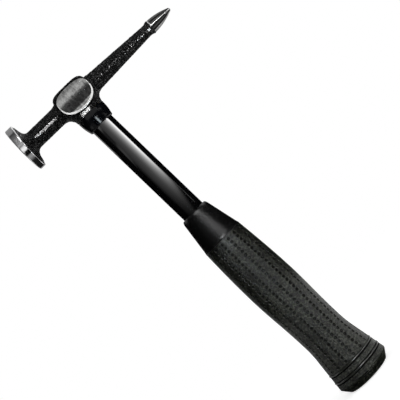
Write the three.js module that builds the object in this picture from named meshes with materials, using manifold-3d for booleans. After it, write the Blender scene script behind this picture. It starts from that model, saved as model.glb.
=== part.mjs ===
// Auto body hammer: a forged head with a round face and a four-sided pick, on a steel tube with a rubber grip.
// Millimetres. The hammer stands on its butt with the handle along +Z. The origin is where the handle's axis
// meets the butt. The striking face points to -X, the pick to +X, and the two cheeks to -Y and +Y.
import * as THREE from 'three';
import { mergeVertices } from 'three/addons/utils/BufferGeometryUtils.js';
import Module from 'manifold-3d';

// Fits between pieces
const fitGap = 0.15;
const seatGap = 0.3;
const cutOverrun = 2;

// Handle tube
const tubeRadius = 9.525;
const tubeWall = 2;
const tubeShown = 93.6;
const tubeRecess = 0.6;
const tubeFoot = 8;

// Rubber grip
const gripLength = 176.5;
const gripEndThickness = 5;
const gripLean = 3;
const mouthWall = 0.9;
const mouthLip = 1.6;
const mouthEdgeDrop = 2.3;
const coneTopWall = 2.5;
const coneLength = 28.8;
const shoulderWall = 7.4;
const bellyWall = 9.45;
const bellyHeight = 96;
const bellySwell = 21;
const waistWall = 8.25;
const waistHeight = 47;
const sweepLength = 13.2;
const flareWall = 13.4;
const flareHeight = 6.1;
const flareEdge = 0.6;
const buttInset = 4.5;
const buttEdge = 0.9;
const beadRise = 6.1;
const beadPitch = 6.8;
const beadRadius = 0.55;
const beadGroove = 0.5;
const beadGrooveWidth = 0.6;

// End plug in the lower end of the tube
const endPlugFlange = 2.5;
const endPlugSpigot = 14;

// Collar under the head
const collarHeight = 12;
const collarBulge = 6;
const collarLipRise = 1.4;
const collarFootWall = 1.35;
const collarLipWall = 0.4;

// Head: the eye and its socket
const bondThickness = 0.5;
const socketWall = 2.1;
const skirtSpread = 7;
const headAxisRise = 14.4;
const headTilt = THREE.MathUtils.degToRad(2.1);

// Head: the boss round the eye
const bossSideWall = 4.9;
const bossCheekWall = 2.5;
const bossShift = 0.1;
const bossCrown = 11.7;
const bossFoot = 10;
const bossEdge = 1.6;
const padShift = 0.8;
const padMargin = 0.7;
const padHeight = 1;
const padCrown = 9.6;
const padFoot = 10.5;
const padEdge = 0.8;

// Head: the striking face and its neck
const faceReach = 55.1;
const faceRadius = 19.05;
const faceChamfer = 0.8;
const rimWidth = 4.3;
const backEdge = 0.8;
const backDepth = 1.4;
const backRadius = 12;
const neckFillet = 5;
const backLean = THREE.MathUtils.degToRad(2.2);
const neckHalf = 7.3;

// Head: the arm and the pick point
const armRootHalf = 7.1;
const armTipHalf = 4.35;
const rootFillet = 4.5;
const rootRise = 1;
const shoulderStart = 72.6;
const shoulderLength = 4.4;
const pointHalf = 5.44;
const pointReach = 96.3;
const pointNose = 1.6;

// Parts in the head end of the tube
const corePlugLength = 60;
const wedgeTopRadius = 4.4;
const wedgeFootRadius = 3.6;
const wedgeLength = 18;

// Section powers: 2 is a circle, 1 is a square on its edge
const roundPower = 2;
const forgedPower = 1.2;
const groundPower = 1.08;
const bossTopPower = 4.4;
const bossFootPower = 2.6;
const padTopPower = 3.1;
const padFootPower = 2.15;

// Shares that shape the curves
const pointTaperShare = 0.8;
const pointTaperPower = 1.9;
const waistBeltShare = 0.5;
const bellyBeltShare = 0.35;
const backCurveShare = 0.3;
const skirtSharpness = 4;

// Counts of facets
const turnSteps = 40;
const curveSteps = 5;
const pointSteps = 9;
const outlineSteps = 44;
const skirtSteps = 6;
const bevelSteps = 2;
const beadSteps = 3;
const beadCount = 2;

// Sizes and places that follow from the ones above
const fullTurn = 2 * Math.PI;
const quarterTurn = Math.PI / 2;
const tubeBore = tubeRadius - tubeWall;
const sleeveBore = tubeRadius + fitGap;
const eyeRadius = sleeveBore + bondThickness + fitGap;
const socketRadius = eyeRadius + socketWall;
const collarBottom = gripLength + tubeShown;
const collarTop = collarBottom + collarHeight;
const socketBottom = collarTop + seatGap;
const headAxisHeight = socketBottom + headAxisRise;
const skirtRise = headAxisRise - neckHalf;
const bossTop = headAxisHeight + bossCrown;
const tubeTop = bossTop - tubeRecess;
const bossHalfWidth = eyeRadius + bossSideWall;
const bossHalfDepth = eyeRadius + bossCheekWall;

const wasm = await Module();
wasm.setup();

// Returns a copy of a geometry with shared corners merged, no flat triangles, and its faces pointing out.
function closed(geometry) {
  const plain = geometry.clone();
  plain.deleteAttribute('normal');
  plain.deleteAttribute('uv');
  const merged = mergeVertices(plain);
  const corners = merged.getIndex().array;
  const kept = [];
  for (let i = 0; i < corners.length; i += 3) {
    const [a, b, c] = [corners[i], corners[i + 1], corners[i + 2]];
    if (a !== b && b !== c && c !== a) kept.push(a, b, c);
  }
  const place = merged.getAttribute('position');
  const [p, q, r] = [new THREE.Vector3(), new THREE.Vector3(), new THREE.Vector3()];
  let volume = 0;
  for (let i = 0; i < kept.length; i += 3) {
    p.fromBufferAttribute(place, kept[i]);
    q.fromBufferAttribute(place, kept[i + 1]);
    r.fromBufferAttribute(place, kept[i + 2]);
    volume += p.dot(q.cross(r));
  }
  if (volume < 0) kept.reverse();
  merged.setIndex(kept);
  return merged;
}

// Turns a geometry into a solid that can be cut and joined.
function solid(geometry) {
  const whole = closed(geometry);
  const vertProperties = new Float32Array(whole.getAttribute('position').array);
  const triVerts = new Uint32Array(whole.getIndex().array);
  return new wasm.Manifold(new wasm.Mesh({ numProp: 3, vertProperties, triVerts }));
}

// Turns a solid back into a geometry.
function surface(body) {
  const { vertProperties, triVerts } = body.getMesh();
  const geometry = new THREE.BufferGeometry();
  geometry.setAttribute('position', new THREE.BufferAttribute(vertProperties, 3));
  geometry.setIndex(new THREE.BufferAttribute(triVerts, 1));
  return geometry;
}

// Spins a profile of radius and height about the handle's axis.
function turned(profile) {
  const points = profile instanceof THREE.Path ? profile.getPoints(curveSteps) : profile;
  const geometry = new THREE.LatheGeometry(points, turnSteps);
  return geometry.rotateX(quarterTurn);
}

// A ring with a rectangular section, or a disc where its bore is zero.
function ring(bore, radius, bottom, top) {
  const section = [[bore, bottom], [radius, bottom], [radius, top], [bore, top]];
  if (bore > 0) section.push([bore, bottom]);
  return turned(section.map(([x, y]) => new THREE.Vector2(x, y)));
}

// Skins a row of closed rings that have the same number of points, with a fan over each end.
function skinned(rings) {
  const steps = rings[0].length;
  const places = rings.flat().flatMap((point) => point.toArray());
  const faces = [];
  for (let row = 0; row + 1 < rings.length; row += 1) {
    for (let step = 0; step < steps; step += 1) {
      const next = (step + 1) % steps;
      const [a, b] = [row * steps + step, row * steps + next];
      faces.push(a, b, b + steps, a, b + steps, a + steps);
    }
  }
  for (const [end, first] of [[rings[0], 0], [rings[rings.length - 1], (rings.length - 1) * steps]]) {
    const centre = end.reduce((sum, point) => sum.add(point), new THREE.Vector3()).divideScalar(steps);
    const hub = places.length / 3;
    places.push(...centre.toArray());
    for (let step = 0; step < steps; step += 1) {
      const [a, b] = [first + step, first + ((step + 1) % steps)];
      if (first === 0) faces.push(hub, b, a);
      else faces.push(hub, a, b);
    }
  }
  const geometry = new THREE.BufferGeometry();
  geometry.setAttribute('position', new THREE.Float32BufferAttribute(places, 3));
  geometry.setIndex(faces);
  return geometry;
}

// How far a rounded square or circle section reaches at an angle from its ridge.
function reachAt(angle, half, power) {
  const across = Math.abs(Math.cos(angle)) ** power;
  const along = Math.abs(Math.sin(angle)) ** power;
  return half / (across + along) ** (1 / power);
}

// The outline of the boss or a pad, fuller above the head's axis than below it.
function barrelOutline(halfWidth, crown, foot, topPower, footPower) {
  const outline = [];
  for (let step = 0; step < outlineSteps; step += 1) {
    const angle = (step / outlineSteps) * fullTurn;
    const [height, power] = Math.sin(angle) > 0 ? [crown, topPower] : [foot, footPower];
    const x = Math.sign(Math.cos(angle)) * Math.abs(Math.cos(angle)) ** (2 / power) * halfWidth;
    const y = Math.sign(Math.sin(angle)) * Math.abs(Math.sin(angle)) ** (2 / power) * height;
    outline.push(new THREE.Vector2(x, y));
  }
  return outline;
}

// A block with that outline, its two faces square to Y and their edges rounded by a bevel.
function barrelBlock(outline, halfDepth, edge, shift) {
  const geometry = new THREE.ExtrudeGeometry(new THREE.Shape(outline), {
    depth: 2 * (halfDepth - edge),
    bevelThickness: edge,
    bevelSize: edge,
    bevelOffset: -edge,
    bevelSegments: bevelSteps,
  });
  geometry.translate(shift, 0, edge - halfDepth);
  return geometry.rotateX(quarterTurn);
}

// The forging's bar from the striking face through the boss to the pick, along X from the handle's axis.
function forgedBar() {
  const rimEnd = faceChamfer + rimWidth - faceReach;
  const backEnd = rimEnd + backEdge + backDepth;
  const neckStart = backEnd + neckFillet;
  const neckEnd = bossShift - bossHalfWidth;
  const armStart = bossShift + bossHalfWidth;
  const half = new THREE.Path();
  half.moveTo(-faceReach, faceRadius - faceChamfer);
  half.lineTo(faceChamfer - faceReach, faceRadius);
  half.lineTo(rimEnd, faceRadius);
  half.quadraticCurveTo(rimEnd + backEdge, faceRadius, rimEnd + backEdge, faceRadius - backEdge);
  half.lineTo(backEnd, backRadius);
  half.quadraticCurveTo(backEnd + neckFillet * backCurveShare, neckHalf, neckStart, neckHalf);
  half.lineTo(neckEnd - rootFillet, neckHalf);
  half.quadraticCurveTo(neckEnd - rootFillet / 2, neckHalf, neckEnd, neckHalf + rootRise);
  half.lineTo(armStart, armRootHalf + rootRise);
  half.quadraticCurveTo(armStart + rootFillet / 2, armRootHalf, armStart + rootFillet, armRootHalf);
  half.lineTo(shoulderStart, armTipHalf);
  const shoulderMiddle = shoulderStart + shoulderLength / 2;
  const pointStart = shoulderStart + shoulderLength;
  half.bezierCurveTo(shoulderMiddle, armTipHalf, shoulderMiddle, pointHalf, pointStart, pointHalf);
  const noseStart = pointReach - pointNose;
  for (let step = 1; step <= pointSteps; step += 1) {
    const along = (step / pointSteps) * (noseStart - pointStart);
    const taper = pointTaperShare * (along / (pointReach - pointStart)) ** pointTaperPower;
    half.lineTo(pointStart + along, pointHalf * (1 - taper));
  }
  const noseHalf = half.currentPoint.y;
  for (let step = 1; step < curveSteps; step += 1) {
    const turn = (step / curveSteps) * quarterTurn;
    half.lineTo(noseStart + Math.sin(turn) * pointNose, noseHalf * Math.cos(turn));
  }
  half.lineTo(pointReach, noseHalf * Math.cos((1 - 1 / (2 * curveSteps)) * quarterTurn));
  const rings = half.getPoints(curveSteps).map(({ x: along, y: reach }) => {
    const squareness = THREE.MathUtils.smoothstep(along, rimEnd + backEdge, neckStart);
    const forged = THREE.MathUtils.lerp(roundPower, forgedPower, squareness);
    const ground = THREE.MathUtils.smoothstep(along, shoulderStart, pointStart);
    const power = THREE.MathUtils.lerp(forged, groundPower, ground);
    const leanShare = along < rimEnd ? 0 : 1 - THREE.MathUtils.smoothstep(along, backEnd, neckStart);
    return Array.from({ length: turnSteps }, (_, step) => {
      const angle = (step / turnSteps) * fullTurn;
      const radius = reachAt(angle, reach, power);
      const [y, z] = [radius * Math.cos(angle), radius * Math.sin(angle)];
      return new THREE.Vector3(along + z * Math.tan(backLean) * leanShare, y, z);
    });
  });
  return skinned(rings);
}

// The skirt of the eye's socket, which spreads towards the neck and the arm and stays upright at the cheeks.
function socketSkirt() {
  const rings = [];
  const addRing = (height, spread, slope) => {
    rings.push(Array.from({ length: turnSteps }, (_, step) => {
      const angle = (step / turnSteps) * fullTurn;
      const radius = socketRadius + spread * Math.abs(Math.cos(angle)) ** skirtSharpness;
      const [x, y] = [radius * Math.cos(angle), radius * Math.sin(angle)];
      return new THREE.Vector3(x, y, height - x * slope);
    }));
  };
  for (let step = 0; step <= skirtSteps; step += 1) {
    const turn = (step / skirtSteps) * quarterTurn;
    const slope = Math.tan(headTilt) * Math.sin(turn);
    addRing(socketBottom + skirtRise * Math.sin(turn), skirtSpread * (1 - Math.cos(turn)), slope);
  }
  addRing(headAxisHeight, 0, 0);
  return skinned(rings);
}

// The head: bar, boss, pads and skirt joined, with the round eye cut through them.
function headGeometry() {
  const tilted = new THREE.Matrix4().makeRotationY(headTilt).setPosition(0, 0, headAxisHeight);
  const boss = barrelOutline(bossHalfWidth, bossCrown, bossFoot, bossTopPower, bossFootPower);
  const pad = barrelOutline(bossHalfWidth - padMargin, padCrown, padFoot, padTopPower, padFootPower);
  const eyeLength = bossTop - socketBottom + 2 * cutOverrun;
  const eye = ring(0, eyeRadius, socketBottom - cutOverrun, socketBottom - cutOverrun + eyeLength);
  const joined = solid(forgedBar().applyMatrix4(tilted))
    .add(solid(barrelBlock(boss, bossHalfDepth, bossEdge, bossShift).applyMatrix4(tilted)))
    .add(solid(barrelBlock(pad, bossHalfDepth + padHeight, padEdge, padShift).applyMatrix4(tilted)))
    .add(solid(socketSkirt()))
    .subtract(solid(eye));
  return surface(joined);
}

// The collar: a moulded sleeve whose side swells up to the socket.
function collarGeometry() {
  const footRadius = sleeveBore + collarFootWall;
  const section = new THREE.Path();
  section.moveTo(sleeveBore, collarBottom);
  section.lineTo(sleeveBore + collarLipWall, collarBottom);
  section.quadraticCurveTo(footRadius, collarBottom, footRadius, collarBottom + collarLipRise);
  section.quadraticCurveTo(socketRadius, collarBottom + collarBulge, socketRadius, collarTop);
  section.lineTo(sleeveBore, collarTop);
  section.lineTo(sleeveBore, collarBottom);
  return turned(section);
}

// The grip's outer shape: butt, flared end with two ring beads, waist, belly, smooth cone and rounded mouth.
function gripOutline() {
  const waistRadius = sleeveBore + waistWall;
  const flareRadius = sleeveBore + flareWall;
  const bellyRadius = sleeveBore + bellyWall;
  const shoulderRadius = sleeveBore + shoulderWall;
  const sweepHeight = waistHeight - sweepLength;
  const sweepFoot = waistHeight - sweepLength / 2;
  const flareAt = (height) => {
    const share = (sweepFoot - height) / (sweepFoot - flareHeight);
    return waistRadius + (flareRadius - waistRadius) * share;
  };
  const side = new THREE.Path();
  side.moveTo(0, 0);
  side.lineTo(flareRadius - buttInset - buttEdge, 0);
  side.quadraticCurveTo(flareRadius - buttInset, 0, flareRadius - buttInset + buttEdge / 2, buttEdge);
  side.lineTo(flareRadius - flareEdge, flareHeight - flareEdge);
  const flareTop = flareHeight + flareEdge / 2;
  side.quadraticCurveTo(flareRadius, flareHeight, flareAt(flareTop), flareTop);
  for (let bead = 0; bead < beadCount; bead += 1) {
    const height = flareHeight + beadRise + bead * beadPitch;
    const groove = beadRadius + beadGrooveWidth;
    side.lineTo(flareAt(height - groove), height - groove);
    for (let step = 0; step <= beadSteps; step += 1) {
      const turn = (step / beadSteps - 1 / 2) * Math.PI;
      const rise = flareAt(height) - beadGroove + beadRadius * Math.cos(turn);
      side.lineTo(rise, height + beadRadius * Math.sin(turn));
    }
    side.lineTo(flareAt(height + groove), height + groove);
  }
  side.lineTo(flareAt(sweepHeight), sweepHeight);
  side.quadraticCurveTo(waistRadius, sweepFoot, waistRadius, waistHeight);
  const beltLength = bellyHeight - waistHeight;
  const waistBelt = waistHeight + beltLength * waistBeltShare;
  const bellyBelt = bellyHeight - beltLength * bellyBeltShare;
  side.bezierCurveTo(waistRadius, waistBelt, bellyRadius, bellyBelt, bellyRadius, bellyHeight);
  const shoulderHeight = gripLength - coneLength;
  side.quadraticCurveTo(bellyRadius, bellyHeight + bellySwell, shoulderRadius, shoulderHeight);
  side.lineTo(sleeveBore + coneTopWall, gripLength - mouthEdgeDrop);
  const mouthRadius = sleeveBore + mouthWall;
  side.quadraticCurveTo(mouthRadius + mouthLip / 2, gripLength, mouthRadius, gripLength);
  side.lineTo(0, gripLength);
  return side;
}

// The grip: its outside leans a little towards the pick, while its bore stays in line with the tube.
function gripGeometry() {
  const leaning = turned(gripOutline());
  const place = leaning.getAttribute('position');
  for (let i = 0; i < place.count; i += 1) {
    place.setX(i, place.getX(i) + gripLean * (1 - place.getZ(i) / gripLength));
  }
  const bore = ring(0, sleeveBore, gripEndThickness, gripLength + cutOverrun);
  return surface(solid(leaning).subtract(solid(bore)));
}

// The plug in the foot of the tube: a flange under the tube's end and a spigot inside it.
function endPlugGeometry() {
  const flangeBottom = tubeFoot - fitGap - endPlugFlange;
  const spigotRadius = tubeBore - fitGap;
  const section = new THREE.Path();
  section.moveTo(0, flangeBottom);
  section.lineTo(tubeRadius, flangeBottom);
  section.lineTo(tubeRadius, flangeBottom + endPlugFlange);
  section.lineTo(spigotRadius, flangeBottom + endPlugFlange);
  section.lineTo(spigotRadius, flangeBottom + endPlugFlange + endPlugSpigot);
  section.lineTo(0, flangeBottom + endPlugFlange + endPlugSpigot);
  return turned(section);
}

// The wooden core in the head end of the tube, with a tapered hole for the wedge.
function corePlugGeometry() {
  const radius = tubeBore - fitGap;
  const wedgeFoot = tubeTop - wedgeLength - fitGap;
  const section = new THREE.Path();
  section.moveTo(0, tubeTop - corePlugLength);
  section.lineTo(radius, tubeTop - corePlugLength);
  section.lineTo(radius, tubeTop);
  section.lineTo(wedgeTopRadius + fitGap, tubeTop);
  section.lineTo(wedgeFootRadius + fitGap, wedgeFoot);
  section.lineTo(0, wedgeFoot);
  return turned(section);
}

// The round wedge, driven level with the end of the wood.
function wedgeGeometry() {
  const section = new THREE.Path();
  section.moveTo(0, tubeTop - wedgeLength);
  section.lineTo(wedgeFootRadius, tubeTop - wedgeLength);
  section.lineTo(wedgeTopRadius, tubeTop);
  section.lineTo(0, tubeTop);
  return turned(section);
}

const hammer = new THREE.Group();

// Adds one named piece to the hammer.
function addPiece(name, geometry, color, roughness, metalness) {
  const material = new THREE.MeshStandardMaterial({ color, roughness, metalness });
  const piece = new THREE.Mesh(closed(geometry), material);
  piece.name = name;
  hammer.add(piece);
}

addPiece('hammer_head', headGeometry(), '#1b1b1d', 0.45, 0.6);
addPiece('handle_tube', ring(tubeBore, tubeRadius, tubeFoot, tubeTop), '#08080a', 0.12, 0.3);
addPiece('collar', collarGeometry(), '#121316', 0.4, 0);
addPiece('eye_bond', ring(sleeveBore, sleeveBore + bondThickness, socketBottom, tubeTop), '#8a7a4a', 0.35, 0);
addPiece('core_plug', corePlugGeometry(), '#b58a58', 0.7, 0);
addPiece('eye_wedge', wedgeGeometry(), '#9a9a98', 0.35, 1);
addPiece('grip', gripGeometry(), '#1c1e1b', 0.75, 0);
addPiece('end_plug', endPlugGeometry(), '#26262a', 0.5, 0);

export default hammer;
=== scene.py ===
import math
from functools import partialmethod

import bmesh
import bpy
import numpy as np
from mathutils import Euler, Matrix, Vector, noise


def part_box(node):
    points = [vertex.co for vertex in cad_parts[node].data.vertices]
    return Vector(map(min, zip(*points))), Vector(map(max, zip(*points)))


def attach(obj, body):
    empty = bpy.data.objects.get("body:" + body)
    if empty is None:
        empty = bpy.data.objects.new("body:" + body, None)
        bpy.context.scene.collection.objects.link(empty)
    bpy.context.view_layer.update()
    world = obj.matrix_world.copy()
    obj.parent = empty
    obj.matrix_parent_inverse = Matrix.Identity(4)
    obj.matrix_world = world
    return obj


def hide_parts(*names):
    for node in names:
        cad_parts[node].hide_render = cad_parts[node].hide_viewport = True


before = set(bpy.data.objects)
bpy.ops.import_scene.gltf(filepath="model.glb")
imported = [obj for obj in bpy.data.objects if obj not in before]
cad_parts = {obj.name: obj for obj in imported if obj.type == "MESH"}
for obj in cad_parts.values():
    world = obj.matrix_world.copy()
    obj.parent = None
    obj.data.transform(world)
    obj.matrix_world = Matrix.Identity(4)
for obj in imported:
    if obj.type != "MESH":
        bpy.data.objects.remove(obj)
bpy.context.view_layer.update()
mm = 0.001


# The camera. It stands 960 mm in front of the handle's axis, level with the mouth of the grip, and is rolled to
# one side, so that the upright hammer lies across the picture with its head at the upper left.
camera_place, camera_roll = (9.55, -960, 179.1), 46.19
camera_data = bpy.data.cameras.new("camera")
camera_data.sensor_width, camera_data.lens = 36, 116.8
camera_data.clip_start, camera_data.clip_end = 0.05, 60
camera = bpy.data.objects.new("camera", camera_data)
camera.location = Vector(camera_place) * mm
camera.rotation_euler = Euler((math.pi / 2, math.radians(camera_roll), 0))
bpy.context.scene.collection.objects.link(camera)
bpy.context.scene.camera = camera
bpy.context.scene.view_settings.view_transform = "Standard"


# The white backdrop. It is plain white to the eye, in metal and through clear things, and gives the object a
# weak even fill.
fill_level = 0.42
backdrop = bpy.data.worlds.new("backdrop")
bpy.context.scene.world = backdrop
backdrop.use_nodes = True
backdrop.cycles.sampling_method = "NONE"
sky = backdrop.node_tree
sky_light = sky.nodes["Background"]
sky_light.inputs["Color"].default_value = (1, 1, 1, 1)


class Value:
    """A shader value, for sums with other values and with plain numbers."""

    def __init__(self, socket):
        self.socket = socket

    def worked(self, operation, other=0):
        """The outcome of a sum."""
        node = self.socket.id_data.nodes.new("ShaderNodeMath")
        node.operation = operation
        feed(self, node.inputs[0])
        feed(other, node.inputs[1])
        return Value(node.outputs[0])

    __add__ = partialmethod(worked, "ADD")
    __sub__ = partialmethod(worked, "SUBTRACT")
    __mul__ = partialmethod(worked, "MULTIPLY")
    __truediv__ = partialmethod(worked, "DIVIDE")
    __abs__ = partialmethod(worked, "ABSOLUTE")
    larger = partialmethod(worked, "MAXIMUM")
    smaller = partialmethod(worked, "MINIMUM")

    def over(self, low, high, out_low, out_high, smooth=False):
        """Maps the value from one range to another and clamps it there."""
        node = self.socket.id_data.nodes.new("ShaderNodeMapRange")
        node.interpolation_type = "SMOOTHSTEP" if smooth else "LINEAR"
        feed(self, node.inputs["Value"])
        for socket, number in (("From Min", low), ("From Max", high), ("To Min", out_low), ("To Max", out_high)):
            node.inputs[socket].default_value = number
        return Value(node.outputs["Result"])


def feed(value, socket):
    """Puts a shader value or a plain number into a socket."""
    if isinstance(value, Value):
        socket.id_data.links.new(value.socket, socket)
    else:
        socket.default_value = value


def seen_directly(tree):
    """Gives 1 for what the eye sees straight, in a gloss or through something clear, and 0 for fill light."""
    path = tree.nodes.new("ShaderNodeLightPath").outputs
    straight = Value(path["Is Camera Ray"]).larger(Value(path["Is Glossy Ray"]))
    return straight.larger(Value(path["Is Transmission Ray"]))


feed(seen_directly(sky).over(0, 1, fill_level, 1), sky_light.inputs["Strength"])


# The floor: a white paper sweep under the butt. It keeps the hammer's soft shadow and thins out into the
# backdrop.
floor_radius, floor_solid_radius = 620, 210
floor_tone, floor_glow = 0.8, 0.7
floor_rings, floor_steps = 24, 64


def placed(name, verts, faces, smooth_angle=None):
    """Makes a mesh object from points in millimetres, with its like points welded and its faces turned outward."""
    mesh = bpy.data.meshes.new(name)
    points = np.asarray(verts, float).reshape(-1, 3) * mm
    mesh.from_pydata(points.tolist(), [], [list(face) for face in faces])
    work = bmesh.new()
    work.from_mesh(mesh)
    bmesh.ops.remove_doubles(work, verts=work.verts, dist=1e-6)
    bmesh.ops.dissolve_degenerate(work, edges=work.edges, dist=1e-7)
    bmesh.ops.recalc_face_normals(work, faces=work.faces)
    work.to_mesh(mesh)
    work.free()
    if smooth_angle is not None:
        mesh.shade_smooth()
        mesh.set_sharp_from_angle(angle=math.radians(smooth_angle))
    thing = bpy.data.objects.new(name, mesh)
    bpy.context.scene.collection.objects.link(thing)
    return thing


def spun(profile, angles):
    """Rings of points about the handle's axis, one for each radius and height of a profile."""
    return np.array([[[r * math.cos(a), r * math.sin(a), z] for a in angles] for r, z in profile])


def grid_faces(rows, steps, wrap_rows=False):
    """Four-cornered faces over rows of rings, each ring closed on itself."""
    row = np.arange(rows if wrap_rows else rows - 1)[:, None]
    step = np.arange(steps)[None, :]
    next_step = (step + 1) % steps
    next_row = (row + 1) % rows
    corners = [row * steps + step, row * steps + next_step, next_row * steps + next_step, next_row * steps + step]
    return np.stack(corners, -1).reshape(-1, 4)


def own_place(node):
    """The point that a node's material is shading, in the object's own metres."""
    return Value(node.id_data.nodes.new("ShaderNodeTexCoord").outputs["Object"])


floor_profile = [(r, 0) for r in np.linspace(0, floor_radius, floor_rings)]
floor_verts = spun(floor_profile, np.linspace(0, 2 * math.pi, floor_steps, endpoint=False))
floor = placed("floor", floor_verts, grid_faces(floor_rings, floor_steps))
sweep = bpy.data.materials.new("white_sweep")
sweep.use_nodes = True
tree = sweep.node_tree
tree.nodes.clear()
output, matte, glow, both, clear, reach, edge = (tree.nodes.new("ShaderNode" + kind) for kind in (
    "OutputMaterial", "BsdfDiffuse", "Emission", "AddShader", "BsdfTransparent", "VectorMath", "MixShader"))
matte.inputs["Color"].default_value = (floor_tone, floor_tone, floor_tone, 1)
feed(seen_directly(tree).over(0, 1, 0, floor_glow), glow.inputs["Strength"])
reach.operation = "LENGTH"
feed(own_place(reach), reach.inputs[0])
feed(Value(reach.outputs["Value"]).over(floor_solid_radius * mm, floor_radius * mm * 0.95, 0, 1, True),
     edge.inputs[0])
for source, target in ((matte, both.inputs[0]), (glow, both.inputs[1]), (both, edge.inputs[1]),
                       (clear, edge.inputs[2]), (edge, output.inputs["Surface"])):
    tree.links.new(source.outputs[0], target)
floor.data.materials.append(sweep)


# The strip light: a long low curved diffuser before the hammer, lit from its right end, so it grows brighter to
# the right. The gloss tube carries its picture. Its lower edge rises a little to the right.
strip_radius, strip_from, strip_to = 1200, -92, 76.5
strip_low, strip_high = 120, 560
strip_level, strip_growth, strip_peak = 0.63, 2.5, 11.5
strip_left_growth, strip_left_end = 1.2, (-74, -34)
strip_edge_height, strip_edge_rise, strip_edge_soft = 205, 56, 60
strip_top_height, strip_top_soft = 430, 40


def arc_card(name, radius, bearings, low, high):
    """A curved upright sheet round the hammer; bearing 0 is towards the camera and grows towards the pick."""
    angles = np.radians(np.linspace(*bearings))
    count = len(angles)
    verts = [[radius * math.sin(a), -radius * math.cos(a), z] for z in (low, high) for a in angles]
    return placed(name, verts, [[i, i + 1, count + i + 1, count + i] for i in range(count - 1)])


def own_axes(node):
    """The three coordinates of that point."""
    split = node.id_data.nodes.new("ShaderNodeSeparateXYZ")
    feed(own_place(node), split.inputs[0])
    return [Value(axis) for axis in split.outputs]


def metres(*lengths):
    """Lengths in millimetres as the shaders take them."""
    return [length * mm for length in lengths]


def glowing(name):
    """A new material that only gives light, and its lamp node."""
    finish = bpy.data.materials.new(name)
    finish.use_nodes = True
    tree = finish.node_tree
    tree.nodes.clear()
    output = tree.nodes.new("ShaderNodeOutputMaterial")
    glow = tree.nodes.new("ShaderNodeEmission")
    tree.links.new(glow.outputs[0], output.inputs["Surface"])
    return finish, glow


def lit_sheet(sheet, name, level_of):
    """Lights a sheet with the level that a function gives for a bearing and a height."""
    cloth, glow = glowing(name)
    x, y, z = own_axes(glow)
    feed(level_of(x.worked("ARCTAN2", y * -1), z), glow.inputs["Strength"])
    sheet.data.materials.append(cloth)
    sheet.visible_camera = False


def strip_light(bearing, height):
    to_right, to_left = bearing.larger(0), bearing.smaller(0)
    growth = (to_right * strip_growth + to_left * strip_left_growth).worked("EXPONENT")
    left_end = bearing.over(*(math.radians(end) for end in strip_left_end), 0, 1, True)
    level = (growth * left_end * strip_level).smaller(strip_peak)
    above = height - (to_right * (strip_edge_rise * mm) + strip_edge_height * mm)
    foot = above.over(*metres(-strip_edge_soft, strip_edge_soft), 0, 1, True)
    top = height.over(*metres(strip_top_height - strip_top_soft, strip_top_height + strip_top_soft), 1, 0, True)
    return level * (foot * top)


strip = arc_card("strip_light", strip_radius, (strip_from, strip_to, 64), strip_low, strip_high)
lit_sheet(strip, "strip_cloth", strip_light)


# The key light: a soft box above the strip, a little to the right of the camera. It gives the grip's cone its
# one soft highlight and lights the near sides.
key_bearing, key_spread, key_right_spread = math.radians(27), math.radians(25), math.radians(15)
key_level = 4.2
key_low, key_high, key_soft = 430, 760, 45


def key_light(bearing, height):
    away = bearing - key_bearing
    off = away.smaller(0) / key_spread + away.larger(0) / key_right_spread
    fall = (off * off * -1).worked("EXPONENT")
    return fall * key_level * height.over(*metres(key_low - key_soft, key_low + key_soft), 0, 1, True)


key = arc_card("key_light", strip_radius + 8, (-40, 85, 48), key_low - key_soft, key_high)
lit_sheet(key, "key_cloth", key_light)


# A reflector stands on the floor under the key light, and gives the grip and the collar a low narrow highlight.
# It is equally bright from its foot to its top.
reflector_level, reflector_low, reflector_high = 4.5, 12, 150
reflector = arc_card("low_reflector", strip_radius - 20, (6, 21, 12), reflector_low, reflector_high)


def reflector_light(bearing, height):
    return height.over(0, 1, reflector_level, reflector_level)


lit_sheet(reflector, "reflector_cloth", reflector_light)


# The cards: black, grey and white sheets and small lamps that only shiny surfaces see. They give the steel, the
# enamel and the collar their dark and light bands, as a photographer's flags do, and light nothing else.
def card_finish(name, level, tint=(1, 1, 1)):
    card, glow = glowing(name)
    glow.inputs["Strength"].default_value = level
    glow.inputs["Color"].default_value = (*tint, 1)
    return card


black_card = card_finish("black_card", 0)
grey_card = card_finish("grey_card", 0.13)
pale_card = card_finish("pale_card", 0.45)
white_card = card_finish("white_card", 0.85)
lamp_card = card_finish("lamp_card", 9)
dull_card = card_finish("dull_card", 0.1)
snow_card = card_finish("snow_card", 1.1)

# The small blue lamps shine only where a reflection meets them, since sampled light would pass through the cards.
blue_card = card_finish("blue_card", 26, (0.84, 0.95, 1))
blue_card.cycles.emission_sampling = "NONE"


def upright_card(name, x_range, y, z_range):
    return placed(name, [[x, y, z] for x in x_range for z in z_range], [[0, 1, 3, 2]])


def flat_card(name, x_range, y_range, z):
    return placed(name, [[x, y, z] for x in x_range for y in y_range], [[0, 1, 3, 2]])


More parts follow.
